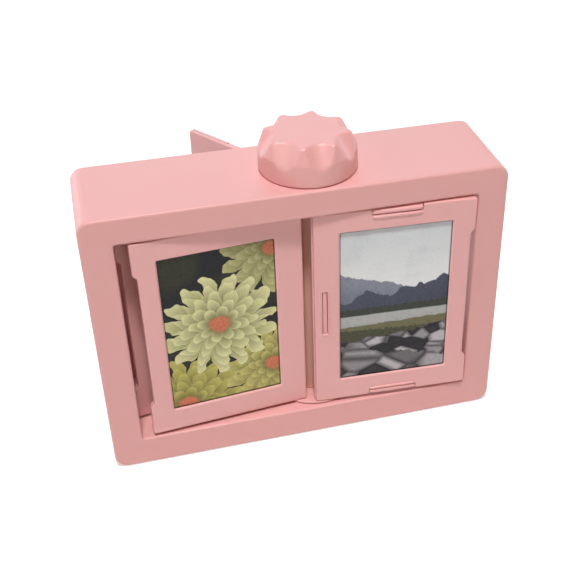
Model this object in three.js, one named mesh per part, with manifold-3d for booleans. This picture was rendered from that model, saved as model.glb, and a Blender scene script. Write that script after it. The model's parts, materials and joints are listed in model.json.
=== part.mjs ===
import * as THREE from 'three';
import { mergeVertices } from 'three/addons/utils/BufferGeometryUtils.js';
import Module from 'manifold-3d';

const wasm = await Module();
wasm.setup();

// Overall sizes (mm). X runs along the front, the front faces -Y, Z is up, the case stands on z = 0.
const caseWidth = 184;
const caseHeight = 132.5;
const caseDepth = 47.5;
const cornerRadius = 6;
const edgeRadius = 1.2;
const clearance = 0.3;

// Case walls and window.
const wall = 2.2;
const plate = 1.7;
const tunnelWall = 1.8;
const sideMargin = 13.6;
const bottomRail = 14.8;
const topRail = 12.6;
const windowRadius = 0.9;
const windowEdge = 0.9;
const sideStep = 3.4;
const topStep = 1.2;
const backMargin = 15.4;
const seamFromFront = 16.5;
const bossRadius = 3;
const pocketWall = 0.9;
const pocketDepth = 4.2;
const screwShank = 1.3;
const screwLength = 13;
const screwHead = 2.8;
const screwHeadHeight = 1.7;
const floorScrewX = 45;

// Spool, set off the middle so that a page passes the left wall freely. Its depth is from the front face.
const spoolOffset = 8;
const spoolDepth = 23;
const spoolTurn = 18;
const flangeGap = 0.4;
const flangeChamfer = 0.3;
const stationCount = 10;
const pinRim = 1.8;
const pinRadius = 0.9;
const columnRadius = 10.8;
const columnWall = 2.2;
const spigotLength = 10;
const shaftRadius = 3;
const shaftFlat = 2.3;
const socketDepth = 6;
const bushRadius = 5;
const bushFlange = 7.5;
const bushFlangeThickness = 1;

// Knob.
const knobRadius = 21.6;
const bandHeight = 10;
const bandRadius = 21.2;
const knobHeight = 17;
const crestRadius = 18.6;
const scoopCount = 8;
const scoopRadius = 9;
const scoopTop = 14.5;
const scoopFoot = 21.3;
const scoopFootHeight = 7.6;
const scoopPhase = 30;
const hubRadius = 10;
const knobWall = 3.9;

// Pages. Local X runs outwards from the hinge pin, +Y is the plain face, Z is up.
const pageFloorGap = 1.7;
const pageTopGap = 0.7;
const pinReach = 0.8;
const pageWallGap = 0.6;
const leanGap = 2.8;
const pageThickness = 3.4;
const plainBack = 3.8;
const slottedBack = 3.2;
const pageCorner = 1;
const pageEdge = 0.5;
const printWidth = 54;
const printHeight = 86;
const printThickness = 0.35;
const printOverlapX = 1.55;
const printOverlapZ = 2.6;
const openingBevel = 0.7;
const openingFromPin = 8.5;
const openingRise = 0.7;
const openingCorner = 0.6;
const notchFrom = 0.15;
const notchTo = 0.85;
const notchDepth = 1.8;
const notchSlope = 2.2;
const tabLength = 22.5;
const tabWidth = 2.4;
const tabDrop = 0.35;
const sideTabFromEdge = 4.7;
const pinRoot = 7;

// Where the four pages hang in the photo: station on the spool, and the page's direction seen from above.
// The third lies close to the left wall, so its direction follows from the wall.
const pageStations = [-4, -3, 4, 2];
const leftPageTurn = 184.7;
const rightPageTurn = -3.1;
const backPageTurn = 125.3;

// Derived places.
const degree = Math.PI / 180;
const frontY = -spoolDepth;
const backY = caseDepth - spoolDepth;
const windowWidth = caseWidth - 2 * sideMargin;
const windowHeight = caseHeight - bottomRail - topRail;
const windowZ = bottomRail + windowHeight / 2;
const ceiling = caseHeight - topRail;
const seamY = frontY + seamFromFront;
const innerWidth = windowWidth + 2 * sideStep;
const innerTop = ceiling + topStep;
const innerHeight = innerTop - bottomRail;
const innerZ = bottomRail + innerHeight / 2;
const pageBottom = bottomRail + pageFloorGap;
const pageTop = ceiling - pageTopGap;
const lowerFlangeZ = bottomRail + clearance;
const upperFlangeZ = pageTop + clearance;
const lowerFlangeThickness = pageFloorGap - 2 * clearance;
const upperFlangeThickness = innerTop - clearance - upperFlangeZ;
const pageHeight = pageTop - pageBottom;
const knobZ = caseHeight + clearance;
const shaftTop = knobZ + knobHeight - 4;
const shaftFoot = bottomRail - tunnelWall - socketDepth + clearance;
const halfInner = clearance / 2;
const halfOuter = pageThickness / 2;
const openingWidth = printWidth - 2 * printOverlapX;
const openingHeight = printHeight - 2 * printOverlapZ;
const openingZ = pageHeight / 2 + openingRise;
const pocketRadius = screwHead + clearance + pocketWall;
const screwX = caseWidth / 2 - wall - clearance - pocketRadius;
const lowScrewZ = (wall + bottomRail - tunnelWall) / 2;
const highScrewZ = caseHeight - wall - clearance - pocketRadius;
const screwPlaces = [
  [-screwX, lowScrewZ],
  [-floorScrewX, lowScrewZ],
  [floorScrewX, lowScrewZ],
  [screwX, lowScrewZ],
  [-screwX, highScrewZ],
  [screwX, highScrewZ],
];
const flangeRadius = spoolDepth - plate - flangeGap;
const pinCircle = flangeRadius - pinRim;
const stationAngle = (station) => (station * 360 / stationCount + spoolTurn) * degree;
const pinX = (station) => spoolOffset + pinCircle * Math.cos(stationAngle(station));
const pageReach = windowWidth / 2 - pinX(pageStations[1]) - pageWallGap;
const openingX = openingFromPin + openingWidth / 2;
const pageCornerReach = Math.hypot(pageReach, halfOuter);
const leanSpan = pinX(pageStations[2]) + innerWidth / 2 - leanGap;
const wallLean = Math.acos(Math.min(1, leanSpan / pageCornerReach));
const leaningTurn = 180 + (wallLean + Math.atan2(halfOuter, pageReach)) / degree;
const pageDirections = [leftPageTurn, rightPageTurn, leaningTurn, backPageTurn];

// A rounded rectangle as a ring of points, drawn anticlockwise round its middle.
function roundedRing(width, height, radius, steps = 6) {
  const points = [];
  const corners = [[1, 1], [-1, 1], [-1, -1], [1, -1]];
  corners.forEach(([sx, sy], corner) => {
    for (let step = 0; step <= steps; step += 1) {
      const angle = (corner + step / steps) * 90 * degree;
      const x = sx * (width / 2 - radius) + radius * Math.cos(angle);
      const y = sy * (height / 2 - radius) + radius * Math.sin(angle);
      points.push(new THREE.Vector2(x, y));
    }
  });
  return points;
}

// Closes rings of equal count, each at its own depth, into one body.
function loft(rings) {
  const count = rings[0].points.length;
  const positions = [];
  const index = [];
  rings.forEach(({ points, depth }) => {
    points.forEach((point) => positions.push(point.x, point.y, depth));
  });
  for (let ring = 0; ring + 1 < rings.length; ring += 1) {
    for (let i = 0; i < count; i += 1) {
      const a = ring * count + i;
      const b = ring * count + ((i + 1) % count);
      index.push(a, b, b + count, a, b + count, a + count);
    }
  }
  const last = (rings.length - 1) * count;
  THREE.ShapeUtils.triangulateShape(rings[0].points, []).forEach(([a, b, c]) => index.push(c, b, a));
  THREE.ShapeUtils.triangulateShape(rings[rings.length - 1].points, []).forEach(([a, b, c]) => {
    index.push(last + a, last + b, last + c);
  });
  const geometry = new THREE.BufferGeometry();
  geometry.setAttribute('position', new THREE.Float32BufferAttribute(positions, 3));
  geometry.setIndex(index);
  return geometry;
}

// A rounded rectangle swept in depth. An edge of the body is rounded off where the number given is
// positive; where it is negative the body flares, to round off the edge of whatever it cuts.
function slab(width, height, radius, from, to, fromEdge = 0, toEdge = 0, steps = 3) {
  const rings = [];
  const cornerSteps = radius > 2 ? 6 : 2;
  const add = (inset, depth) => {
    const reach = Math.max(radius - inset, 0.05);
    rings.push({ points: roundedRing(width - 2 * inset, height - 2 * inset, reach, cornerSteps), depth });
  };
  for (let step = 0; step < steps && fromEdge; step += 1) {
    const angle = (step / steps) * 90 * degree;
    add(fromEdge * (1 - Math.sin(angle)), from + Math.abs(fromEdge) * (1 - Math.cos(angle)));
  }
  add(0, from + Math.abs(fromEdge));
  add(0, to - Math.abs(toEdge));
  for (let step = steps - 1; step >= 0 && toEdge; step -= 1) {
    const angle = (step / steps) * 90 * degree;
    add(toEdge * (1 - Math.sin(angle)), to - Math.abs(toEdge) * (1 - Math.cos(angle)));
  }
  return loft(rings);
}

// Stands a slab drawn in X and height with its depth along Y.
function standing(geometry, x, z) {
  const mirror = new THREE.Matrix4().set(1, 0, 0, x, 0, 0, 1, 0, 0, 1, 0, z, 0, 0, 0, 1);
  return geometry.applyMatrix4(mirror);
}

// A body turned about Z from [radius, height] pairs.
function turned(profile, segments = 48) {
  const points = profile.map(([radius, height]) => new THREE.Vector2(radius, height));
  return new THREE.LatheGeometry(points, segments).rotateX(Math.PI / 2);
}

function ring(inner, outer, from, to, segments = 48) {
  return turned([[inner, from], [outer, from], [outer, to], [inner, to], [inner, from]], segments);
}

function rod(radius, from, to, segments = 24) {
  return turned([[0, from], [radius, from], [radius, to], [0, to]], segments);
}

// A rod lying along Y.
function crossRod(radius, from, to, x, z, segments = 24) {
  return rod(radius, -to, -from, segments).rotateX(Math.PI / 2).translate(x, 0, z);
}

// The shaft's D section, or a bore for it when grown by a clearance.
function dRod(grow, from, to) {
  const radius = shaftRadius + grow;
  const flat = Math.acos((shaftFlat + grow) / radius);
  const outline = new THREE.Shape();
  outline.absarc(0, 0, radius, flat, 2 * Math.PI - flat, false);
  outline.closePath();
  const settings = { depth: to - from, bevelEnabled: false, curveSegments: 24 };
  return new THREE.ExtrudeGeometry(outline, settings).translate(0, 0, from);
}

// Welds a geometry and hands it to the boolean kernel with its faces outwards.
function solid(source) {
  const bare = source.clone();
  bare.deleteAttribute('normal');
  bare.deleteAttribute('uv');
  const welded = mergeVertices(bare, 1e-4);
  const places = welded.attributes.position.array;
  const faces = [];
  let volume = 0;
  const corners = [new THREE.Vector3(), new THREE.Vector3(), new THREE.Vector3()];
  for (let i = 0; i < welded.index.count; i += 3) {
    const trio = [0, 1, 2].map((k) => welded.index.getX(i + k));
    if (trio[0] === trio[1] || trio[1] === trio[2] || trio[2] === trio[0]) continue;
    trio.forEach((vertex, k) => corners[k].fromArray(places, vertex * 3));
    volume += corners[0].dot(corners[1].clone().cross(corners[2]));
    faces.push(trio);
  }
  const outward = volume > 0 ? faces : faces.map(([a, b, c]) => [a, c, b]);
  const mesh = new wasm.Mesh({
    numProp: 3,
    vertProperties: new Float32Array(places),
    triVerts: new Uint32Array(outward.flat()),
  });
  return new wasm.Manifold(mesh);
}

function join(...parts) {
  const solids = parts.map((part) => (part.isBufferGeometry ? solid(part) : part));
  return solids.reduce((all, part) => all.add(part));
}

function cut(body, ...tools) {
  const start = body.isBufferGeometry ? solid(body) : body;
  return tools.reduce((rest, tool) => rest.subtract(tool.isBufferGeometry ? solid(tool) : tool), start);
}

const shellPink = new THREE.MeshStandardMaterial({ color: 0xe3aeae, roughness: 0.42 });
const pagePink = new THREE.MeshStandardMaterial({ color: 0xe0a8a6, roughness: 0.45 });
const knobPink = new THREE.MeshStandardMaterial({ color: 0xeab8ba, roughness: 0.38 });
const paper = new THREE.MeshStandardMaterial({ color: 0x8f98a6, roughness: 0.35 });
const steel = new THREE.MeshStandardMaterial({ color: 0xb4b6ba, roughness: 0.35, metalness: 1 });
const bushWhite = new THREE.MeshStandardMaterial({ color: 0xe6e2da, roughness: 0.5 });

function piece(name, body, material) {
  const result = (body.isBufferGeometry ? solid(body) : body).getMesh();
  const geometry = new THREE.BufferGeometry();
  geometry.setAttribute('position', new THREE.Float32BufferAttribute(result.vertProperties, 3));
  geometry.setIndex(Array.from(result.triVerts));
  geometry.computeVertexNormals();
  const mesh = new THREE.Mesh(geometry, material);
  mesh.name = name;
  return mesh;
}

const group = new THREE.Group();
group.name = 'rotating_photo_frame';

// Case. The front shell carries the outer walls over the full depth, the liner closes it from behind.
const caseGroup = new THREE.Group();
caseGroup.name = 'case';
group.add(caseGroup);

// The window in the front plate, the opening in the back, and the wider room for the pages between them.
const frontCutter = slab(windowWidth, windowHeight, windowRadius, frontY, frontY + plate + 1, -windowEdge);
const backWidth = caseWidth - 2 * backMargin;
const backCutter = slab(backWidth, innerHeight, windowRadius, backY - wall - 1, backY, 0, -windowEdge);

function roomCutter(from, to) {
  return standing(slab(innerWidth, innerHeight, windowRadius, from, to), 0, innerZ);
}

function tunnel(from, to) {
  const width = innerWidth + 2 * tunnelWall;
  const height = innerHeight + 2 * tunnelWall;
  return standing(slab(width, height, windowRadius + tunnelWall, from, to), 0, innerZ);
}

const cavityWidth = caseWidth - 2 * wall;
const cavityHeight = caseHeight - 2 * wall;
const cavityRadius = cornerRadius - wall;
const outerBlock = slab(caseWidth, caseHeight, cornerRadius, frontY, backY, edgeRadius, edgeRadius / 2);
const cavity = slab(cavityWidth, cavityHeight, cavityRadius, frontY + plate, backY + 1);
const bossEnd = backY - pocketDepth - clearance;
const shellBosses = screwPlaces.map(([x, z]) => crossRod(bossRadius, frontY + plate / 2, bossEnd, x, z));
const pilotHoles = screwPlaces.map(([x, z]) => {
  return crossRod(screwShank + clearance, bossEnd - screwLength, backY, x, z);
});
const topBossFoot = innerTop + tunnelWall + clearance;
const topBoss = rod(bushRadius + clearance + wall, topBossFoot, caseHeight - wall / 2, 48);
const topBore = rod(bushRadius + clearance, ceiling, caseHeight + 1, 48);
const shellRaw = cut(
  standing(outerBlock, 0, caseHeight / 2),
  standing(cavity, 0, caseHeight / 2),
);
const shellBody = cut(
  join(
    shellRaw,
    tunnel(frontY + plate / 2, seamY),
    topBoss.translate(spoolOffset, 0, 0),
    ...shellBosses,
  ),
  standing(frontCutter, 0, windowZ),
  roomCutter(frontY + plate, backY + 1),
  topBore.translate(spoolOffset, 0, 0),
  ...pilotHoles,
);
caseGroup.add(piece('front_shell', shellBody, shellPink));

const linerPlate = slab(
  cavityWidth - 2 * clearance,
  cavityHeight - 2 * clearance,
  cavityRadius - clearance,
  backY - wall,
  backY,
);
const pockets = screwPlaces.map(([x, z]) => {
  return crossRod(pocketRadius, backY - pocketDepth, backY - wall / 2, x, z);
});
const headSeat = backY - pocketDepth / 2;
const headHoles = screwPlaces.map(([x, z]) => crossRod(screwHead + clearance, headSeat, backY + 1, x, z));
const shankHoles = screwPlaces.map(([x, z]) => {
  return crossRod(screwShank + clearance, backY - pocketDepth - 1, backY, x, z);
});
const floorBossFoot = bottomRail - tunnelWall - socketDepth;
const floorBoss = rod(shaftRadius + clearance + wall, floorBossFoot, bottomRail - tunnelWall / 2, 32);
const floorBore = rod(shaftRadius + clearance, 0, bottomRail + 1, 32);
const ceilingBore = rod(bushRadius, innerTop - 1, innerTop + tunnelWall + 1, 32);
const linerBody = cut(
  join(
    standing(linerPlate, 0, caseHeight / 2),
    tunnel(seamY + clearance, backY - wall / 2),
    floorBoss.translate(spoolOffset, 0, 0),
    ...pockets,
  ),
  standing(backCutter, 0, innerZ),
  roomCutter(frontY, backY - wall),
  floorBore.translate(spoolOffset, 0, 0),
  ceilingBore.translate(spoolOffset, 0, 0),
  ...headHoles,
  ...shankHoles,
);
caseGroup.add(piece('rear_liner', linerBody, shellPink));

screwPlaces.forEach(([x, z], i) => {
  const top = screwHeadHeight;
  const screw = turned([
    [0, -screwLength],
    [screwShank * 0.55, -screwLength],
    [screwShank, -screwLength + 1.6],
    [screwShank, 0],
    [screwHead, 0],
    [screwHead, top * 0.55],
    [screwHead * 0.72, top],
    [0, top],
  ], 24);
  const slotLong = slab(screwHead * 1.1, 0.6, 0.05, top - 0.7, top + 1);
  const slotCross = slab(0.6, screwHead * 1.1, 0.05, top - 0.7, top + 1);
  const mesh = piece(`case_screw_${i + 1}`, cut(screw, slotLong, slotCross), steel);
  mesh.rotation.x = -Math.PI / 2;
  mesh.position.set(x, headSeat + clearance, z);
  caseGroup.add(mesh);
});

const bush = turned([
  [shaftRadius + clearance, innerTop + tunnelWall + 2 * clearance],
  [bushRadius, innerTop + tunnelWall + 2 * clearance],
  [bushRadius, caseHeight + clearance],
  [bushFlange, caseHeight + clearance],
  [bushFlange, caseHeight + clearance + bushFlangeThickness],
  [shaftRadius + clearance, caseHeight + clearance + bushFlangeThickness],
  [shaftRadius + clearance, innerTop + tunnelWall + 2 * clearance],
]);
caseGroup.add(piece('top_bush', bush.translate(spoolOffset, 0, 0), bushWhite));

// Spool: turns about the upright line at X = spoolOffset.
const spool = new THREE.Group();
spool.name = 'spool';
spool.position.x = spoolOffset;
spool.rotation.z = spoolTurn * degree;
group.add(spool);

const spigotRadius = columnRadius - columnWall - clearance;

function flange(name, diskZ, thickness, spigotFrom, spigotTo) {
  const disc = turned([
    [0, diskZ],
    [flangeRadius - flangeChamfer, diskZ],
    [flangeRadius, diskZ + flangeChamfer],
    [flangeRadius, diskZ + thickness - flangeChamfer],
    [flangeRadius - flangeChamfer, diskZ + thickness],
    [0, diskZ + thickness],
  ], 72);
  const holes = [];
  for (let station = 0; station < stationCount; station += 1) {
    const angle = (station / stationCount) * 2 * Math.PI;
    const hole = rod(pinRadius + clearance, diskZ - 1, diskZ + thickness + 1, 16);
    holes.push(hole.translate(pinCircle * Math.cos(angle), pinCircle * Math.sin(angle), 0));
  }
  const body = cut(
    join(disc, rod(spigotRadius, spigotFrom, spigotTo, 40)),
    dRod(clearance, diskZ - spigotLength - 5, diskZ + spigotLength + 5),
    ...holes,
  );
  spool.add(piece(name, body, shellPink));
}

const lowerFlangeTop = lowerFlangeZ + lowerFlangeThickness;
const lowerMiddle = lowerFlangeZ + lowerFlangeThickness / 2;
const upperMiddle = upperFlangeZ + upperFlangeThickness / 2;
flange('lower_flange', lowerFlangeZ, lowerFlangeThickness, lowerMiddle, lowerFlangeTop + spigotLength);
flange('upper_flange', upperFlangeZ, upperFlangeThickness, upperFlangeZ - spigotLength, upperMiddle);
const columnFrom = lowerFlangeTop + clearance;
const columnTo = upperFlangeZ - clearance;
const column = ring(columnRadius - columnWall, columnRadius, columnFrom, columnTo, 48);
spool.add(piece('spool_column', column, shellPink));
spool.add(piece('shaft', dRod(0, shaftFoot, shaftTop), steel));

// The knob's scoops are cylinders that lean in over its edge.
const scoopSlope = Math.atan2(scoopFoot - scoopTop, knobHeight - scoopFootHeight);
const scoops = [];
for (let i = 0; i < scoopCount; i += 1) {
  const scoop = rod(scoopRadius, -40, 40, 40);
  scoop.rotateY(-scoopSlope);
  const scoopX = scoopTop + scoopRadius * Math.cos(scoopSlope);
  scoop.translate(scoopX, 0, knobHeight + scoopRadius * Math.sin(scoopSlope));
  scoop.rotateZ((scoopPhase + (i * 360) / scoopCount) * degree);
  scoops.push(scoop);
}
const knobBlank = turned([
  [0, 0],
  [knobRadius - 0.5, 0],
  [knobRadius, 0.5],
  [bandRadius, bandHeight],
  [crestRadius + 0.7, knobHeight - 1.1],
  [crestRadius + 0.2, knobHeight - 0.35],
  [crestRadius - 0.6, knobHeight],
  [0, knobHeight],
], 96);
const knobHollow = ring(hubRadius, knobRadius - knobWall, -1, bandHeight - 1.6, 64);
const flangeSeat = rod(bushFlange + 2 * clearance, -1, bushFlangeThickness + clearance, 48);
const knobBody = cut(
  knobBlank,
  ...scoops,
  knobHollow,
  flangeSeat,
  dRod(clearance, -1, shaftTop - knobZ + clearance),
);
const knob = piece('knob', knobBody, knobPink);
knob.position.z = knobZ;
spool.add(knob);

// Pages. Both halves are cut from the same outline; the plain half carries the pins and the tabs.
function pageOutline(inset, back) {
  const low = -back + inset;
  const high = pageReach - inset;
  const top = pageHeight - inset;
  const notchLow = pageHeight * notchFrom;
  const notchHigh = pageHeight * notchTo;
  const radius = Math.max(pageCorner - inset, 0.3);
  const points = [];
  const corner = (x, z, quarter) => {
    for (let step = 0; step <= 4; step += 1) {
      const angle = (quarter + step / 4) * 90 * degree;
      points.push(new THREE.Vector2(x + radius * Math.cos(angle), z + radius * Math.sin(angle)));
    }
  };
  corner(low + radius, inset + radius, 2);
  corner(high - radius, inset + radius, 3);
  points.push(new THREE.Vector2(high, notchLow));
  points.push(new THREE.Vector2(high - notchDepth, notchLow + notchSlope));
  points.push(new THREE.Vector2(high - notchDepth, notchHigh - notchSlope));
  points.push(new THREE.Vector2(high, notchHigh));
  corner(high - radius, top - radius, 0);
  corner(low + radius, top - radius, 1);
  return points;
}

// A half page lying from the parting plane to its outer face, with the bevelled opening and the print's seat.
function pageHalf(back) {
  const blank = loft([
    { points: pageOutline(0, back), depth: halfInner },
    { points: pageOutline(0, back), depth: halfOuter - pageEdge },
    { points: pageOutline(pageEdge * 0.3, back), depth: halfOuter - pageEdge * 0.3 },
    { points: pageOutline(pageEdge, back), depth: halfOuter },
  ]);
  const bevelWidth = openingWidth + 2.4 * openingBevel;
  const bevelHeight = openingHeight + 2.4 * openingBevel;
  const opening = loft([
    { points: roundedRing(openingWidth, openingHeight, openingCorner, 2), depth: -1 },
    { points: roundedRing(openingWidth, openingHeight, openingCorner, 2), depth: halfOuter - openingBevel },
    {
      points: roundedRing(bevelWidth, bevelHeight, openingCorner + openingBevel, 2),
      depth: halfOuter + 0.2 * openingBevel,
    },
  ]);
  const seat = slab(
    printWidth + 2 * clearance,
    printHeight + 2 * clearance,
    0.5,
    -1,
    halfInner + printThickness + clearance,
  );
  return cut(
    standing(blank, 0, 0),
    standing(opening, openingX, openingZ),
    standing(seat, openingX, openingZ),
  );
}

function box(width, height, x, z, fromY, toY, radius = 0.3) {
  return standing(slab(width, height, radius, fromY, toY), x, z);
}

const tabReach = halfOuter - tabDrop;
const slotLength = tabLength + 2 * clearance;
const slotWidth = tabWidth + clearance;
const sideTabX = sideTabFromEdge - slottedBack;
const tabs = [
  box(tabLength, tabWidth, openingX, pageHeight - tabWidth / 2 - 0.25, -tabReach, halfOuter / 2),
  box(tabLength, tabWidth, openingX, tabWidth / 2 + 0.25, -tabReach, halfOuter / 2),
  box(tabWidth * 0.75, tabLength, sideTabX, pageHeight / 2, -tabReach, halfOuter / 2),
];
const slots = [
  box(slotLength, slotWidth + 1, openingX, pageHeight - slotWidth / 2 + 0.25, -3, 0),
  box(slotLength, slotWidth + 1, openingX, slotWidth / 2 - 0.25, -3, 0),
  box(tabWidth * 0.75 + 2 * clearance, slotLength, sideTabX, pageHeight / 2, -3, 0),
];
const plainHalf = join(
  pageHalf(plainBack),
  ...tabs,
  rod(pinRadius, -pinReach, pinRoot, 16),
  rod(pinRadius, pageHeight - pinRoot, pageHeight + pinReach, 16),
);
const slottedHalf = cut(
  pageHalf(slottedBack).mirror([0, 1, 0]),
  ...slots,
  rod(pinRadius + clearance, -1, pinRoot + clearance, 16),
  rod(pinRadius + clearance, pageHeight - pinRoot - clearance, pageHeight + 1, 16),
);
const frontPrint = box(printWidth, printHeight, openingX, openingZ, halfInner, halfInner + printThickness);
const backPrint = box(printWidth, printHeight, openingX, openingZ, -halfInner - printThickness, -halfInner);

pageStations.forEach((station, i) => {
  const page = new THREE.Group();
  page.name = `page_${i + 1}`;
  const angle = (station / stationCount) * 2 * Math.PI;
  page.position.set(pinCircle * Math.cos(angle), pinCircle * Math.sin(angle), pageBottom);
  page.rotation.z = (pageDirections[i] - spoolTurn) * degree;
  page.add(piece(`page_${i + 1}_plain_half`, plainHalf, pagePink));
  page.add(piece(`page_${i + 1}_slotted_half`, slottedHalf, pagePink));
  page.add(piece(`page_${i + 1}_plain_print`, frontPrint, paper));
  page.add(piece(`page_${i + 1}_slotted_print`, backPrint, paper));
  spool.add(page);
});

export default group;
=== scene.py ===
import json
import math

import bpy
import numpy as np
from mathutils import Matrix, Vector


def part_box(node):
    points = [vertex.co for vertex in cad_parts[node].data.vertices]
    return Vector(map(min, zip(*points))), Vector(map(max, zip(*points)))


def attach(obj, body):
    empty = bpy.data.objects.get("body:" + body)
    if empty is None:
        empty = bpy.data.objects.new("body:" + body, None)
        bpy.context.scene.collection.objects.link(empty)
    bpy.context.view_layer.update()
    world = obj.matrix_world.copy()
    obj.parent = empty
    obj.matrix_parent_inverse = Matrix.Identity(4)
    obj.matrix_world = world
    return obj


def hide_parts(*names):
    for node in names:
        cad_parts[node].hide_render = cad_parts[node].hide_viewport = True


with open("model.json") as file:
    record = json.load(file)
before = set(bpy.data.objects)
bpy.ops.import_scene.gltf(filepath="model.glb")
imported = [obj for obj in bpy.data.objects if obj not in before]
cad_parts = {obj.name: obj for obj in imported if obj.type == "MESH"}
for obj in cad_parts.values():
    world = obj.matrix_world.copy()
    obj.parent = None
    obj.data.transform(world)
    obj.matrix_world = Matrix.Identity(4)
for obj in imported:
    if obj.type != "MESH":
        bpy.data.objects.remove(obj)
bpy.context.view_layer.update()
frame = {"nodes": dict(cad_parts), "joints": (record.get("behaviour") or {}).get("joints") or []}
nodes = frame["nodes"]

scene = bpy.context.scene
scene.view_settings.view_transform = "Standard"
perMetre = 1000  # the shapes below are worked out in millimetres
whole = 2 * np.pi  # one turn

# camera: place and directions from the photograph's own perspective
viewSet = {
    "place": (-0.0806, -0.3810, 0.3398),
    "right": (0.9646, -0.2638, -0.0030),
    "ahead": (0.2159, 0.7959, -0.5657),
    "lens": 63.8,
    "sensor": 36,
    "shift": (-0.0929, -0.0110),
    "clip": (0.01, 20),
}


def placeCamera(spec):
    ahead = Vector(spec["ahead"]).normalized()
    right = Vector(spec["right"])
    right = (right - ahead * right.dot(ahead)).normalized()
    up = right.cross(ahead)
    cameraData = bpy.data.cameras.new("photoCamera")
    cameraData.lens = spec["lens"]
    cameraData.sensor_width = spec["sensor"]
    cameraData.shift_x, cameraData.shift_y = spec["shift"]
    cameraData.clip_start, cameraData.clip_end = spec["clip"]
    camera = bpy.data.objects.new("photoCamera", cameraData)
    turn = Matrix((right, up, -ahead)).transposed().to_4x4()
    camera.matrix_world = Matrix.Translation(spec["place"]) @ turn
    scene.collection.objects.link(camera)
    scene.camera = camera


placeCamera(viewSet)


# node helpers: an input is a socket to link or a value to set
def addNode(tree, kind, inputs=None, **settings):
    node = tree.nodes.new(kind)
    for key, value in settings.items():
        setattr(node, key, value)
    for key, value in (inputs or {}).items():
        if isinstance(value, bpy.types.NodeSocket):
            tree.links.new(value, node.inputs[key])
        else:
            node.inputs[key].default_value = value
    return node


def maths(tree, operation, a, b=0.0, c=0.0):
    return addNode(tree, "ShaderNodeMath", {0: a, 1: b, 2: c}, operation=operation).outputs[0]


def plus(tree, a, b):
    return maths(tree, "ADD", a, b)


def minus(tree, a, b):
    return maths(tree, "SUBTRACT", a, b)


def times(tree, a, b):
    return maths(tree, "MULTIPLY", a, b)


# value's swing about one half, times amount
def swing(tree, value, amount):
    return times(tree, minus(tree, value, 0.5), amount)


# smooth step between two levels as value goes from low to high
def band(tree, value, low, high, toLow=0.0, toHigh=1.0):
    inputs = {"Value": value, "From Min": low, "From Max": high, "To Min": toLow, "To Max": toHigh}
    return addNode(tree, "ShaderNodeMapRange", inputs, interpolation_type="SMOOTHSTEP").outputs["Result"]


def mixColour(tree, factor, a, b):
    inputs = {0: factor, 6: a, 7: b}  # the colour sockets of a Mix node
    return addNode(tree, "ShaderNodeMix", inputs, data_type="RGBA", clamp_factor=True).outputs[2]


def dim(tree, colour, level):
    return addNode(tree, "ShaderNodeVectorMath", {0: colour, "Scale": level}, operation="SCALE").outputs[0]


def noise(tree, place, scale, detail, **more):
    inputs = {"Vector": place, "Scale": scale, "Detail": detail, **more}
    return addNode(tree, "ShaderNodeTexNoise", inputs).outputs["Fac"]


def parts(tree, place):
    return addNode(tree, "ShaderNodeSeparateXYZ", {0: place}).outputs


def objectPlace(tree):
    return addNode(tree, "ShaderNodeTexCoord").outputs["Object"]


def newMaterial(name):
    material = bpy.data.materials.new(name)
    material.use_nodes = True
    return material, material.node_tree, material.node_tree.nodes["Principled BSDF"]


def newGroup(name, inputs, outputs):
    tree = bpy.data.node_groups.new(name, "ShaderNodeTree")
    for label, kind, value in inputs:
        socket = tree.interface.new_socket(label, in_out="INPUT", socket_type="NodeSocket" + kind)
        socket.default_value = value
    for label, kind in outputs:
        tree.interface.new_socket(label, in_out="OUTPUT", socket_type="NodeSocket" + kind)
    return tree, tree.nodes.new("NodeGroupInput").outputs


def wire(tree, shader, colour, roughness, normal):
    for key, value in (("Base Color", colour), ("Roughness", roughness), ("Normal", normal)):
        tree.links.new(value, shader.inputs[key])


# 1 for rays that show the surroundings: from the camera, in gloss, through clear stuff
def seenDirect(tree):
    rays = addNode(tree, "ShaderNodeLightPath").outputs
    seen = maths(tree, "MAXIMUM", rays["Is Camera Ray"], rays["Is Glossy Ray"])
    return maths(tree, "MAXIMUM", seen, rays["Is Transmission Ray"])


# linear colour from 0 to 255 screen values
def rgb(*screen):
    linear = [(c / 255 / 12.92) if c <= 10 else ((c / 255 + 0.055) / 1.055) ** 2.4 for c in screen]
    return (*linear, 1)


# lamps: name, place, size, watts, colour
lampSet = {
    "aim": (0, 0, 0.06),
    "lamps": [
        ("keyLamp", (-0.10, -0.50, 1.55), 0.25, 20.4, (1.0, 1.0, 1.0)),
        ("backLamp", (0.10, 0.95, 0.75), 0.9, 1.5, (0.55, 0.88, 1.0)),
        ("frontLamp", (-0.10, -1.35, 0.90), 0.8, 2.2, (1.0, 0.6, 0.22)),
        ("leftLamp", (-1.40, -0.40, 0.75), 0.9, 4.2, (0.9, 0.95, 1.0)),
        ("rightLamp", (1.30, 0.45, 0.45), 0.9, 4.0, (1.0, 1.0, 1.0)),
        ("rearLamp", (-0.95, 1.05, 0.35), 1.0, 5.0, (1.0, 1.0, 1.0)),
    ],
    "sky": 0.03,  # the world's light on the object; seen direct it is 1
}


def placeLamps(spec):
    for name, place, size, watts, colour in spec["lamps"]:
        lamp = bpy.data.lights.new(name, "AREA")
        lamp.shape = "DISK"
        lamp.size, lamp.energy, lamp.color = size, watts, colour
        holder = bpy.data.objects.new(name, lamp)
        aim = Vector(spec["aim"]) - Vector(place)
        turn = aim.to_track_quat("-Z", "Y").to_matrix().to_4x4()
        holder.matrix_world = Matrix.Translation(place) @ turn
        scene.collection.objects.link(holder)
    world = bpy.data.worlds.new("studio")
    scene.world = world
    world.use_nodes = True
    tree = world.node_tree
    back = tree.nodes["Background"]
    back.inputs["Color"].default_value = (1, 1, 1, 1)
    tree.links.new(band(tree, seenDirect(tree), 0.0, 1.0, spec["sky"], 1.0), back.inputs["Strength"])


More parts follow.
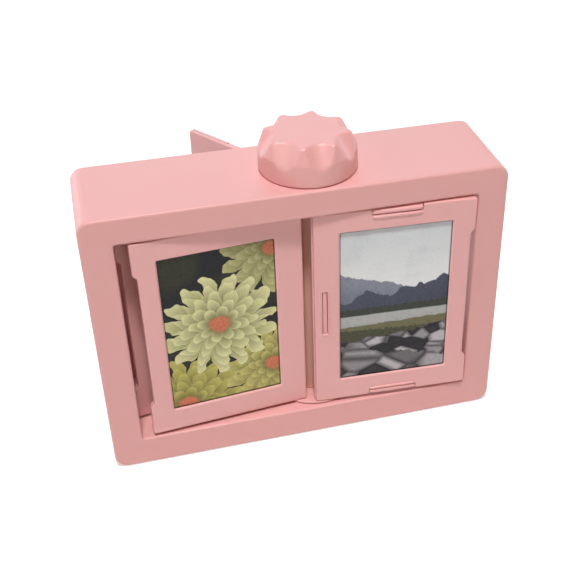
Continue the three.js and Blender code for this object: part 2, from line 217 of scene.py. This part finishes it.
placeLamps(lampSet)
print("camera and lamps placed")

# moulded plastic: slow drift of tone, fine spark-eroded grain, patchy gloss
skinSet = {
    "slow": (16, 3), "flow": (95, 2), "fine": (2100, 2),  # noise scale and detail
    "slowShare": 0.65, "speck": 0.05, "glossPatch": 0.16, "flowHeight": 0.5,
    "bumpDepth": 0.00006, "edgeSamples": 4,
}


def buildMouldSkin(spec):
    tree, given = newGroup(
        "mouldSkin",
        [
            ("Place", "Vector", (0, 0, 0)),
            ("Tone", "Color", (0.7, 0.4, 0.4, 1)),
            ("Drift", "Float", 0.06),
            ("Gloss", "Float", 0.42),
            ("Grain", "Float", 1.0),
        ],
        [("Color", "Color"), ("Roughness", "Float"), ("Height", "Float")],
    )
    slow, flow, fine = [noise(tree, given["Place"], *spec[key]) for key in ("slow", "flow", "fine")]
    patch = plus(tree, times(tree, slow, spec["slowShare"]), times(tree, flow, 1 - spec["slowShare"]))
    change = plus(tree, swing(tree, patch, given["Drift"]), swing(tree, fine, spec["speck"]))
    colour = dim(tree, given["Tone"], plus(tree, change, 1.0))
    rough = plus(tree, given["Gloss"], swing(tree, flow, spec["glossPatch"]))
    height = plus(tree, times(tree, fine, given["Grain"]), times(tree, flow, spec["flowHeight"]))
    addNode(tree, "NodeGroupOutput", {"Color": colour, "Roughness": rough, "Height": height})
    return tree


mouldSkin = buildMouldSkin(skinSet)


def plasticMaterial(name, spec):
    material, tree, shader = newMaterial(name)
    inputs = {"Place": objectPlace(tree), "Tone": spec["tone"], "Drift": spec["drift"]}
    inputs.update({"Gloss": spec["gloss"], "Grain": spec["grain"]})
    skin = addNode(tree, "ShaderNodeGroup", inputs, node_tree=mouldSkin).outputs
    inputs = {"Strength": spec["bump"], "Distance": skinSet["bumpDepth"], "Height": skin["Height"]}
    if "soften" in spec:  # radius that the moulded edges are rounded to
        edges = addNode(tree, "ShaderNodeBevel", {"Radius": spec["soften"]}, samples=skinSet["edgeSamples"])
        inputs["Normal"] = edges.outputs[0]
    bump = addNode(tree, "ShaderNodeBump", inputs).outputs[0]
    wire(tree, shader, skin["Color"], skin["Roughness"], bump)
    shader.inputs["Specular IOR Level"].default_value = spec["shine"]
    return material


pinkSet = {
    "case": {"tone": rgb(227, 168, 166), "drift": 0.05, "gloss": 0.44, "grain": 1.0,
             "bump": 0.35, "shine": 0.5, "soften": 0.0005},
    "page": {"tone": rgb(232, 173, 172), "drift": 0.05, "gloss": 0.36, "grain": 0.8,
             "bump": 0.3, "shine": 0.6, "soften": 0.0003},
    "knob": {"tone": rgb(223, 160, 158), "drift": 0.05, "gloss": 0.46, "grain": 0.7,
             "bump": 0.3, "shine": 0.9},
    # painted shade: the column's warmer, tan tone stands in for the warm shade deep in the gap between the
    # pages
    "column": {"tone": rgb(231, 178, 164), "drift": 0.06, "gloss": 0.46, "grain": 1.0,
               "bump": 0.35, "shine": 0.45},
    "bush": {"tone": rgb(228, 226, 219), "drift": 0.04, "gloss": 0.5, "grain": 1.0,
             "bump": 0.3, "shine": 0.4},
}
casePink = plasticMaterial("casePink", pinkSet["case"])
pagePink = plasticMaterial("pagePink", pinkSet["page"])
knobPink = plasticMaterial("knobPink", pinkSet["knob"])
columnPink = plasticMaterial("columnPink", pinkSet["column"])
bushWhite = plasticMaterial("bushWhite", pinkSet["bush"])
plasticOf = {
    "front_shell": casePink, "rear_liner": casePink, "lower_flange": casePink, "upper_flange": casePink,
    "spool_column": columnPink, "top_bush": bushWhite, "knob": knobPink,
}


def give(node, material):
    mesh = nodes[node].data
    mesh.materials.clear()
    mesh.materials.append(material)


for name in nodes:
    if name.endswith("_half"):
        give(name, pagePink)
    elif name in plasticOf:
        give(name, plasticOf[name])
print("plastic finishes given")

# zinc-plated steel: turning marks round the axis, dull patches
steelSet = {
    "bright": rgb(196, 198, 202), "dull": rgb(150, 150, 152), "patch": (420, 3), "patchRange": (0.35, 0.7),
    "gloss": 0.20, "glossPatch": 0.25, "marks": 5200, "markDetail": 3, "stretch": 60.0,
    "bump": 0.25, "bumpDepth": 0.00003,
}


def buildTurnedSteel(spec):
    tree, given = newGroup(
        "turnedSteel",
        [("Place", "Vector", (0, 0, 0)), ("Stretch", "Vector", (1, 1, 1))],
        [("Color", "Color"), ("Roughness", "Float"), ("Height", "Float")],
    )
    inputs = {"Vector": given["Place"], "Scale": given["Stretch"]}
    along = addNode(tree, "ShaderNodeMapping", inputs).outputs[0]
    marks = noise(tree, along, spec["marks"] / spec["stretch"], spec["markDetail"])
    patch = noise(tree, given["Place"], *spec["patch"])
    colour = mixColour(tree, band(tree, patch, *spec["patchRange"]), spec["dull"], spec["bright"])
    rough = plus(tree, times(tree, patch, spec["glossPatch"]), spec["gloss"])
    addNode(tree, "NodeGroupOutput", {"Color": colour, "Roughness": rough, "Height": marks})
    return tree


turnedSteel = buildTurnedSteel(steelSet)


def steelMaterial(name, spec, axis):
    material, tree, shader = newMaterial(name)
    stretch = tuple(spec["stretch"] if i == axis else 1.0 for i in range(3))
    inputs = {"Place": objectPlace(tree), "Stretch": stretch}
    steel = addNode(tree, "ShaderNodeGroup", inputs, node_tree=turnedSteel).outputs
    inputs = {"Strength": spec["bump"], "Distance": spec["bumpDepth"], "Height": steel["Height"]}
    wire(tree, shader, steel["Color"], steel["Roughness"], addNode(tree, "ShaderNodeBump", inputs).outputs[0])
    shader.inputs["Metallic"].default_value = 1.0
    return material


screwSteel = steelMaterial("screwSteel", steelSet, 1)  # the screws lie along y
shaftSteel = steelMaterial("shaftSteel", steelSet, 2)
for name in nodes:
    if name.startswith("case_screw"):
        give(name, screwSteel)
give("shaft", shaftSteel)
print("steel finishes given")


def putMesh(name, points, faces, material, sharpFrom=None):
    mesh = bpy.data.meshes.new(name)
    mesh.from_pydata(points.tolist(), [], faces)
    mesh.materials.append(material)
    if sharpFrom:
        mesh.shade_smooth()
        mesh.set_sharp_from_angle(angle=math.radians(sharpFrom))
    piece = bpy.data.objects.new(name, mesh)
    scene.collection.objects.link(piece)
    return piece


# faces of rows of points that close round, with a fan at each end to the two points that follow them
def tubeFaces(rows, around, turnOver=False):
    count = rows * around
    index = np.arange(count).reshape(rows, around)
    after = np.roll(index, -1, axis=1)
    quads = np.stack([index[:-1], after[:-1], after[1:], index[1:]], -1).reshape(-1, 4)
    first = np.stack([after[0], index[0], np.full(around, count)], -1)
    last = np.stack([index[-1], after[-1], np.full(around, count + 1)], -1)
    fans = np.vstack([first, last])
    if turnOver:
        quads, fans = quads[:, [0, 3, 2, 1]], fans[:, [0, 2, 1]]
    return quads.tolist() + fans.tolist()


# knob: along every direction from a point on its axis the surface lies at the smooth minimum of the way to
# a turned blank and the ways to eight round scoops that lean in over the rim; underneath it is turned
knobSet = {
    "axis": 8.0, "base": 132.8, "eye": 4.0, "around": 384, "blend": 0.42, "miss": 99.0, "sharpFrom": 38,
    "scoops": 8, "phase": 3.0, "scoopRadius": 9.0, "valleyTop": (14.5, 17.0), "valleyFoot": (21.3, 7.6),
    "blank": [  # radius, height
        (0, 17), (12, 17), (17.0, 16.98), (18.1, 16.75), (18.75, 16.2), (19.2, 15.2), (20.85, 10.7),
        (21.15, 9.8), (21.22, 9.2), (21.5, 1.2), (21.5, 0.5), (21.3, 0.15), (20.9, 0),
    ],
    "steps": [10, 16, 8, 6, 6, 24, 8, 5, 22, 4, 3, 3],
    "under": [
        (17.7, 0), (17.7, 8.4), (10, 8.4), (10, 0), (8.1, 0), (8.1, 1.3), (3.3, 1.3), (3.3, 13.3), (0.4, 13.3),
    ],
}


def turned(profile, turn):
    radius, height = profile[:, :1], profile[:, 1:]
    return np.stack([radius * np.cos(turn), radius * np.sin(turn), height + 0 * turn], -1)


def shapeKnob(spec):
    turn = np.linspace(0, whole, spec["around"], endpoint=False)
    blank, under = np.array(spec["blank"], float), np.array(spec["under"], float)
    runs = [
        start + (end - start) * np.linspace(0, 1, steps, endpoint=False)[:, None]
        for start, end, steps in zip(blank[:-1], blank[1:], spec["steps"])
    ]
    eye = np.array([0, 0, spec["eye"]])
    reach = turned(np.vstack(runs + [blank[-1:]])[1:], turn) - eye
    way = np.linalg.norm(reach, axis=-1)
    aim = reach / way[..., None]
    top, foot = np.array(spec["valleyTop"]), np.array(spec["valleyFoot"])
    run = (foot - top) / np.linalg.norm(foot - top)
    middle = top + spec["scoopRadius"] * np.array([-run[1], run[0]])
    total = np.exp(-way / spec["blend"])
    for k in range(spec["scoops"]):
        side = math.radians(spec["phase"] + 360 * k / spec["scoops"])
        lean = np.array([run[0] * math.cos(side), run[0] * math.sin(side), run[1]])
        start = np.array([middle[0] * math.cos(side), middle[0] * math.sin(side), middle[1]])
        across = np.cross(aim, lean)  # the way to a round scoop from a quadratic a w^2 + 2 b w + c = 0
        offset = np.cross(eye - start, lean)
        a = (across ** 2).sum(-1)
        b = across @ offset
        root = b ** 2 - a * (offset @ offset - spec["scoopRadius"] ** 2)
        hit = np.where((root > 0) & (b < 0), (-b - np.sqrt(np.maximum(root, 0))) / a, spec["miss"])
        total = total + np.exp(-hit / spec["blend"])
    outside = eye + aim * (-spec["blend"] * np.log(total))[..., None]
    outside[-1, :, 2] = 0  # the foot stays flat
    rows = np.vstack([outside, turned(under, turn)])
    ends = [[0, 0, blank[0, 1]], [0, 0, under[-1, 1]]]
    points = np.vstack([rows.reshape(-1, 3), ends]) + [spec["axis"], 0, spec["base"]]
    return points / perMetre, tubeFaces(len(rows), spec["around"], turnOver=True)


knobPoints, knobFaces = shapeKnob(knobSet)
grip = putMesh("grip", knobPoints, knobFaces, knobPink, knobSet["sharpFrom"])
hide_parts("knob")
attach(grip, "spool")
print("knob shaped: %d faces" % len(knobFaces))

# rounded lips and caps round the snap tabs: an ellipse carried along a straight path, tapered at both ends by
# (1 - s^10)^0.5; its lower half lies in the page
pageTurns = {1: 184.7, 2: -3.1, 3: 191.05, 4: 125.3}  # which way each page points from its hinge, degrees
tabSet = {
    "around": 20, "along": 33, "face": 1.7, "taper": 10, "sharpFrom": 50,
    # height, half length, half width, seat, rise
    "caps": [(101.25, 11.4, 1.1, -0.3, 0.75), (1.45, 11.4, 1.1, -0.3, 0.75)],
    "lips": [(98.85, 11.4, 0.85, 0.0, 0.6), (3.6, 11.4, 0.62, 0.0, 0.55)],
    # the same after the distance from the hinge pin; the side lips stand upright
    "sideLips": [(3.2, 51.35, 11.6, 0.48, 0.0, 0.62), (-0.1, 51.35, 11.6, 0.34, 0.0, 0.4)],
    "endLip": [(1.5, 39.2, 1.5, 0.42, 0.0, 0.5)],
}


def shapeTabs(spec, pin, turn, middle):
    rows, around = spec["along"], spec["around"]
    s = np.sin(np.linspace(-1, 1, rows + 2)[1:-1] * np.pi / 2)[:, None]
    angle = np.linspace(0, whole, around, endpoint=False)[None, :]
    taper = np.sqrt(1 - s ** spec["taper"])
    rods = [(False, middle, *rest) for rest in spec["caps"] + spec["lips"]]
    rods += [(True, *rest) for rest in spec["sideLips"]] + [(False, *rest) for rest in spec["endLip"]]
    base = tubeFaces(rows, around)
    points, faces = [], []
    for k, (upright, x, z, reach, width, seat, rise) in enumerate(rods):
        run = np.append((s * reach + 0 * angle).ravel(), [-reach, reach])
        across = np.append((width * taper * np.cos(angle)).ravel(), [0, 0])
        out = spec["face"] + seat + np.append((rise * taper * np.sin(angle)).ravel(), [0, 0])
        along = x - across if upright else x + run
        level = z + run if upright else z + across
        points.append(np.stack([along, -out, level], -1))
        first = k * len(run)
        faces += [[first + corner for corner in face] for face in base]
    x, y, z = np.vstack(points).T / perMetre
    cosine, sine = math.cos(math.radians(turn)), math.sin(math.radians(turn))
    return np.stack([cosine * x - sine * y, sine * x + cosine * y, z], -1) + np.array(pin), faces


for hinge in frame["joints"]:
    if hinge["child"].startswith("page_"):
        number = int(hinge["child"][-1])
        low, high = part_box("page_%d_slotted_print" % number)
        pin = hinge["pos_m"]
        middle = perMetre * math.hypot((low[0] + high[0]) / 2 - pin[0], (low[1] + high[1]) / 2 - pin[1])
        tabPoints, tabFaces = shapeTabs(tabSet, pin, pageTurns[number], middle)
        tabTrim = putMesh("tabTrim%d" % number, tabPoints, tabFaces, pagePink, tabSet["sharpFrom"])
        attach(tabTrim, hinge["child"])
print("snap tabs trimmed")

# glossy paper over a picture: a little print grain, a dark rim, faint waves in the sheet
paperSet = {
    "width": 0.054, "grain": (160, 1), "grainShade": (0.16, 0.92), "grainGloss": (0.08, 0.24),
    "sideRim": (0.458, 0.468), "endRim": (0.732, 0.745), "rimShade": (-0.75, 1.0),  # in widths of the print
    "wave": (2.2, 1), "bump": 0.2, "bumpDepth": 0.0004, "shine": 0.25,
}


def buildPhotoPaper(spec):
    tree, given = newGroup(
        "photoPaper",
        [("Place", "Vector", (0, 0, 0)), ("Picture", "Color", (0.5, 0.5, 0.5, 1))],
        [("Color", "Color"), ("Roughness", "Float"), ("Height", "Float")],
    )
    grain = noise(tree, given["Place"], *spec["grain"])
    across, _, up = parts(tree, given["Place"])
    side = band(tree, maths(tree, "ABSOLUTE", across), *spec["sideRim"])
    ends = band(tree, maths(tree, "ABSOLUTE", up), *spec["endRim"])
    rim = maths(tree, "MULTIPLY_ADD", maths(tree, "MAXIMUM", side, ends), *spec["rimShade"])
    shade = times(tree, maths(tree, "MULTIPLY_ADD", grain, *spec["grainShade"]), rim)
    colour = dim(tree, given["Picture"], shade)
    rough = maths(tree, "MULTIPLY_ADD", grain, *spec["grainGloss"])
    wave = noise(tree, given["Place"], *spec["wave"])
    addNode(tree, "NodeGroupOutput", {"Color": colour, "Roughness": rough, "Height": wave})
    return tree


# one bloom of pointed petals in rings: each ring is its own outline
# r = size * (0.62 + 0.38 |cos(petals * angle / 2)| ^ 0.7), darker towards the middle
petalSet = {
    "rings": [(15, 1.0, 0.1), (13, 0.84, 0.35), (12, 0.68, 0.2), (10, 0.52, 0.5), (8, 0.37, 0.0)],
    "wobble": (5.5, 2), "wobbleOut": 0.16, "wobbleRound": 0.5, "veins": 92.0, "veinShade": 0.035,
    "point": 0.7, "outline": (0.38, 0.62), "edge": (-0.008, 0.012), "fade": 2.2, "ridgeShade": (0.45, 0.6),
    "heartEdge": (0.2, 0.13), "heartSpeck": (70, 2), "speckRange": (0.3, 0.6, 0.55, 1.0),
}


def buildBloom(spec):
    tree, given = newGroup(
        "bloom",
        [
            ("Place", "Vector", (0, 0, 0)),
            ("Centre", "Vector", (0, 0, 0)),
            ("Reach", "Float", 0.45),
            ("Light", "Color", (0.7, 0.7, 0.4, 1)),
            ("Dark", "Color", (0.2, 0.2, 0.05, 1)),
            ("Heart", "Color", (0.7, 0.25, 0.1, 1)),
        ],
        [("Color", "Color"), ("Mask", "Float")],
    )
    inputs = {0: given["Place"], 1: given["Centre"]}
    away = addNode(tree, "ShaderNodeVectorMath", inputs, operation="SUBTRACT").outputs[0]
    x, _, z = parts(tree, away)
    wobble = noise(tree, away, *spec["wobble"])
    span = maths(tree, "SQRT", plus(tree, times(tree, x, x), times(tree, z, z)))
    span = maths(tree, "DIVIDE", span, given["Reach"])
    span = plus(tree, span, swing(tree, wobble, spec["wobbleOut"]))
    angle = plus(tree, maths(tree, "ARCTAN2", z, x), times(tree, wobble, spec["wobbleRound"]))
    vein = times(tree, maths(tree, "SINE", times(tree, angle, spec["veins"])), spec["veinShade"])
    colour, masks = given["Dark"], []
    for petals, size, start in spec["rings"]:
        wave = maths(tree, "COSINE", times(tree, plus(tree, angle, start), petals / 2))
        ridge = maths(tree, "ABSOLUTE", wave)
        outline = maths(tree, "MULTIPLY_ADD", maths(tree, "POWER", ridge, spec["point"]), *spec["outline"])
        outline = times(tree, outline, size)
        masks.append(band(tree, minus(tree, outline, span), *spec["edge"]))
        fade = maths(tree, "POWER", maths(tree, "DIVIDE", span, outline), spec["fade"])
        level = times(tree, fade, maths(tree, "MULTIPLY_ADD", ridge, *spec["ridgeShade"]))
        petal = mixColour(tree, plus(tree, level, vein), given["Dark"], given["Light"])
        colour = mixColour(tree, masks[-1], colour, petal)
    speck = band(tree, noise(tree, away, *spec["heartSpeck"]), *spec["speckRange"])
    heart = times(tree, band(tree, span, *spec["heartEdge"]), speck)
    colour = mixColour(tree, heart, colour, given["Heart"])
    addNode(tree, "NodeGroupOutput", {"Color": colour, "Mask": masks[0]})
    return tree


# one ridge of hills: covers all below z = level + slope x + rise * (rough noise along x - 0.5)
ridgeSet = {"detail": 5, "edge": (-0.006, 0.006)}
ridgeInputs = ("Level", "Slope", "Rise", "Wave", "Seed")


def buildRidge(spec):
    tree, given = newGroup(
        "ridge",
        [
            ("Place", "Vector", (0, 0, 0)),
            ("Level", "Float", 0.0),
            ("Slope", "Float", 0.0),
            ("Rise", "Float", 0.2),
            ("Wave", "Float", 3.0),
            ("Seed", "Float", 0.0),
        ],
        [("Mask", "Float"), ("Depth", "Float")],
    )
    x, _, z = parts(tree, given["Place"])
    walk = plus(tree, times(tree, x, given["Wave"]), given["Seed"])
    inputs = {"W": walk, "Scale": 1.0, "Detail": spec["detail"]}
    crest = addNode(tree, "ShaderNodeTexNoise", inputs, noise_dimensions="1D").outputs["Fac"]
    lift = plus(tree, swing(tree, crest, given["Rise"]), given["Level"])
    lift = plus(tree, lift, times(tree, x, given["Slope"]))
    depth = minus(tree, lift, z)
    addNode(tree, "NodeGroupOutput", {"Mask": band(tree, depth, *spec["edge"]), "Depth": depth})
    return tree


photoPaper = buildPhotoPaper(paperSet)
bloomGroup = buildBloom(petalSet)
ridgeGroup = buildRidge(ridgeSet)


# picture coordinates: x and z from the print's middle, in widths of the print, y out of the page
def startPrint(name, node, turn):
    material, tree = newMaterial(name)[:2]
    low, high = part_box(node)
    inputs = {
        "Vector": objectPlace(tree),
        "Location": [(a + b) / 2 for a, b in zip(low, high)],
        "Rotation": (0, 0, math.radians(turn)),
        "Scale": [paperSet["width"]] * 3,
    }
    return material, tree, addNode(tree, "ShaderNodeMapping", inputs, vector_type="TEXTURE").outputs[0]


def endPrint(material, tree, place, colour, node):
    shader = tree.nodes["Principled BSDF"]
    inputs = {"Place": place, "Picture": colour}
    paper = addNode(tree, "ShaderNodeGroup", inputs, node_tree=photoPaper).outputs
    inputs = {"Strength": paperSet["bump"], "Distance": paperSet["bumpDepth"], "Height": paper["Height"]}
    wire(tree, shader, paper["Color"], paper["Roughness"], addNode(tree, "ShaderNodeBump", inputs).outputs[0])
    shader.inputs["Specular IOR Level"].default_value = paperSet["shine"]
    give(node, material)


# blooms: place of the middle, reach, tone of the petals' tips
flowerSet = {
    "blur": (2.4, 1), "swirl": 0.6, "leafRange": (0.42, 0.68),
    "paleBloom": {
        "ground": rgb(18, 18, 24), "leaf": rgb(44, 46, 32), "dark": rgb(92, 90, 40), "heart": rgb(214, 122, 92),
        "blooms": [
            ((0.44, 0.66), 0.42, rgb(188, 186, 132)),
            ((-0.34, -0.74), 0.5, rgb(196, 190, 104)),
            ((0.42, -0.5), 0.44, rgb(204, 198, 120)),
            ((-0.02, 0.02), 0.5, rgb(226, 226, 170)),
        ],
    },
    "roseBloom": {
        "ground": rgb(34, 44, 34), "leaf": rgb(86, 110, 70), "dark": rgb(150, 70, 84),
        "heart": rgb(236, 200, 110),
        "blooms": [((-0.3, 0.5), 0.4, rgb(238, 190, 196)), ((0.22, -0.3), 0.52, rgb(244, 206, 206))],
    },
    "blueBloom": {
        "ground": rgb(28, 36, 52), "leaf": rgb(70, 92, 84), "dark": rgb(70, 78, 140),
        "heart": rgb(240, 210, 120),
        "blooms": [
            ((0.3, 0.46), 0.42, rgb(176, 188, 232)),
            ((-0.24, -0.1), 0.46, rgb(196, 204, 240)),
            ((0.3, -0.66), 0.4, rgb(170, 180, 226)),
        ],
    },
    "whiteBloom": {
        "ground": rgb(46, 58, 40), "leaf": rgb(112, 130, 74), "dark": rgb(150, 150, 120),
        "heart": rgb(232, 176, 60),
        "blooms": [((-0.2, 0.3), 0.5, rgb(240, 238, 226)), ((0.26, -0.44), 0.44, rgb(236, 232, 216))],
    },
}


def flowerPrint(name, node, turn, spec):
    material, tree, place = startPrint(name, node, turn)
    blur = noise(tree, place, *flowerSet["blur"], Distortion=flowerSet["swirl"])
    colour = mixColour(tree, band(tree, blur, *flowerSet["leafRange"]), spec["ground"], spec["leaf"])
    for (x, z), reach, light in spec["blooms"]:
        inputs = {"Place": place, "Centre": (x, 0, z), "Reach": reach, "Light": light}
        inputs.update({"Dark": spec["dark"], "Heart": spec["heart"]})
        bloom = addNode(tree, "ShaderNodeGroup", inputs, node_tree=bloomGroup).outputs
        colour = mixColour(tree, bloom["Mask"], colour, bloom["Color"])
    endPrint(material, tree, place, colour, node)


# ridges, far to near: level, slope, rise, wave, seed, tone at the crest, tone below
hillsSet = {
    "skyRange": (0.1, 0.8), "clouds": (2.6, 4), "cloudRange": (0.48, 0.75, 0.0, 0.6),
    "rough": (26, 4), "roughFade": (1.6, -0.8), "fadeRange": (0.0, 0.3),
    "greyLake": {
        "sky": rgb(210, 216, 221), "haze": rgb(231, 235, 237), "cloud": rgb(188, 194, 202),
        "ridges": [
            (0.2, -0.3, 0.3, 2.4, 3.1, rgb(134, 140, 156), rgb(112, 118, 136)),
            (0.12, 0.16, 0.34, 3.0, 8.4, rgb(72, 78, 95), rgb(62, 68, 84)),
            (-0.03, 0.0, 0.07, 34.0, 4.3, rgb(54, 60, 52), rgb(72, 76, 58)),
            (-0.1, 0.0, 0.012, 6.0, 1.2, rgb(176, 180, 180), rgb(150, 152, 148)),
            (-0.2, 0.03, 0.04, 9.0, 5.0, rgb(112, 108, 80), rgb(84, 82, 60)),
            (-0.27, -0.05, 0.08, 28.0, 2.2, rgb(70, 72, 50), rgb(58, 56, 44)),
        ],
        "stones": [(7.0, -0.33, 0.12, 2.7), (4.4, -0.52, -0.22, 6.1)],  # size, level, slope, seed
    },
    "greenHills": {
        "sky": rgb(150, 186, 216), "haze": rgb(214, 226, 232), "cloud": rgb(240, 242, 242),
        "ridges": [
            (0.2, 0.2, 0.3, 2.2, 1.0, rgb(120, 146, 150), rgb(96, 124, 120)),
            (0.0, -0.15, 0.3, 3.0, 4.0, rgb(92, 122, 70), rgb(70, 100, 56)),
            (-0.4, 0.2, 0.2, 4.0, 6.0, rgb(150, 152, 84), rgb(110, 116, 60)),
        ],
    },
    "eveningSea": {
        "sky": rgb(110, 112, 150), "haze": rgb(238, 190, 150), "cloud": rgb(214, 150, 130),
        "ridges": [
            (0.06, 0.3, 0.26, 2.0, 9.0, rgb(96, 84, 104), rgb(76, 66, 88)),
            (-0.04, 0.0, 0.0, 1.0, 0.0, rgb(170, 140, 140), rgb(80, 78, 110)),
            (-0.5, -0.3, 0.2, 5.0, 3.0, rgb(60, 52, 56), rgb(34, 30, 38)),
        ],
    },
    "autumnWood": {
        "sky": rgb(196, 206, 214), "haze": rgb(226, 224, 214), "cloud": rgb(212, 214, 214),
        "ridges": [
            (0.3, 0.0, 0.4, 2.6, 2.0, rgb(176, 150, 120), rgb(150, 120, 90)),
            (0.08, 0.2, 0.4, 5.0, 5.5, rgb(178, 112, 60), rgb(130, 74, 44)),
            (-0.3, -0.1, 0.2, 6.0, 8.0, rgb(120, 104, 60), rgb(74, 66, 44)),
        ],
    },
}
# rounded stones below a bank: cells, each with its own tone, light in the middle and dark in the joints
stoneSet = {
    "pale": rgb(194, 190, 196), "dark": rgb(34, 33, 43), "joint": rgb(14, 13, 18),
    "rise": 0.16, "wave": 5.0, "squeeze": (1.0, 0.0, 1.5), "toneRange": (0.2, 0.8),
    "jointRange": (0.0, 0.22, 0.25, 1.0), "rough": (38, 3), "roughShade": (0.5, 0.7),
}


def addRidge(tree, place, values):
    inputs = {"Place": place, **dict(zip(ridgeInputs, values))}
    return addNode(tree, "ShaderNodeGroup", inputs, node_tree=ridgeGroup).outputs


def layStones(tree, place, colour, heaps, spec):
    for size, level, slope, seed in heaps:
        bank = addRidge(tree, place, (level, slope, spec["rise"], spec["wave"], seed))
        inputs = {"Vector": place, "Location": (seed, 0, 0), "Scale": spec["squeeze"]}
        inputs = {"Vector": addNode(tree, "ShaderNodeMapping", inputs).outputs[0], "Scale": size}
        cell = addNode(tree, "ShaderNodeTexVoronoi", inputs).outputs["Color"]
        joint = addNode(tree, "ShaderNodeTexVoronoi", inputs, feature="DISTANCE_TO_EDGE").outputs["Distance"]
        pick = addNode(tree, "ShaderNodeSeparateColor", {0: cell}).outputs[0]
        stone = mixColour(tree, band(tree, pick, *spec["toneRange"]), spec["dark"], spec["pale"])
        rough = maths(tree, "MULTIPLY_ADD", noise(tree, place, *spec["rough"]), *spec["roughShade"])
        shade = times(tree, band(tree, joint, *spec["jointRange"]), rough)
        colour = mixColour(tree, bank["Mask"], colour, mixColour(tree, shade, spec["joint"], stone))
    return colour


def hillsPrint(name, node, turn, spec):
    material, tree, place = startPrint(name, node, turn)
    height = parts(tree, place)[2]
    cloud = band(tree, noise(tree, place, *hillsSet["clouds"]), *hillsSet["cloudRange"])
    sky = mixColour(tree, band(tree, height, *hillsSet["skyRange"]), spec["haze"], spec["sky"])
    colour = mixColour(tree, cloud, sky, spec["cloud"])
    rough = maths(tree, "MULTIPLY_ADD", noise(tree, place, *hillsSet["rough"]), *hillsSet["roughFade"])
    for *values, near, far in spec["ridges"]:
        ridge = addRidge(tree, place, values)
        fade = plus(tree, band(tree, ridge["Depth"], *hillsSet["fadeRange"]), rough)
        colour = mixColour(tree, ridge["Mask"], colour, mixColour(tree, fade, near, far))
    colour = layStones(tree, place, colour, spec.get("stones", []), stoneSet)
    endPrint(material, tree, place, colour, node)


# page, picture on its plain side, picture on its slotted side
printSet = [
    (1, "paleBloom", "greenHills"), (2, "roseBloom", "greyLake"),
    (3, "blueBloom", "eveningSea"), (4, "whiteBloom", "autumnWood"),
]
for number, flower, hills in printSet:
    turn = pageTurns[number]
    flowerPrint(flower + "Print", "page_%d_plain_print" % number, turn + 180, flowerSet[flower])
    hillsPrint(hills + "Print", "page_%d_slotted_print" % number, turn, hillsSet[hills])
print("prints drawn")

# floor: flat grid z = -drop, pale, white farther off, keeps the object's shadow
floorSet = {
    "reach": 2.5, "drop": 0.0003, "lines": 9, "tone": 0.86, "rough": 0.9, "shine": 0.1,
    "glow": 0.40, "nearby": 0.22, "faraway": 0.75,
}


def layFloor(spec):
    line = np.linspace(-spec["reach"], spec["reach"], spec["lines"])
    x, y = np.meshgrid(line, line)
    points = np.stack([x, y, np.full_like(x, -spec["drop"])], -1).reshape(-1, 3)
    index = np.arange(x.size).reshape(x.shape)
    quads = np.stack([index[:-1, :-1], index[:-1, 1:], index[1:, 1:], index[1:, :-1]], -1).reshape(-1, 4)
    material, tree, shader = newMaterial("floorWhite")
    shader.inputs["Base Color"].default_value = (spec["tone"], spec["tone"], spec["tone"], 1)
    shader.inputs["Roughness"].default_value = spec["rough"]
    shader.inputs["Specular IOR Level"].default_value = spec["shine"]
    shader.inputs["Emission Color"].default_value = (1, 1, 1, 1)
    inputs = {0: objectPlace(tree)}
    away = addNode(tree, "ShaderNodeVectorMath", inputs, operation="LENGTH").outputs["Value"]
    glow = band(tree, away, spec["nearby"], spec["faraway"], spec["glow"], 1.0)
    tree.links.new(times(tree, seenDirect(tree), glow), shader.inputs["Emission Strength"])
    floor = putMesh("floor", points, quads.tolist(), material)


layFloor(floorSet)
print("floor laid")
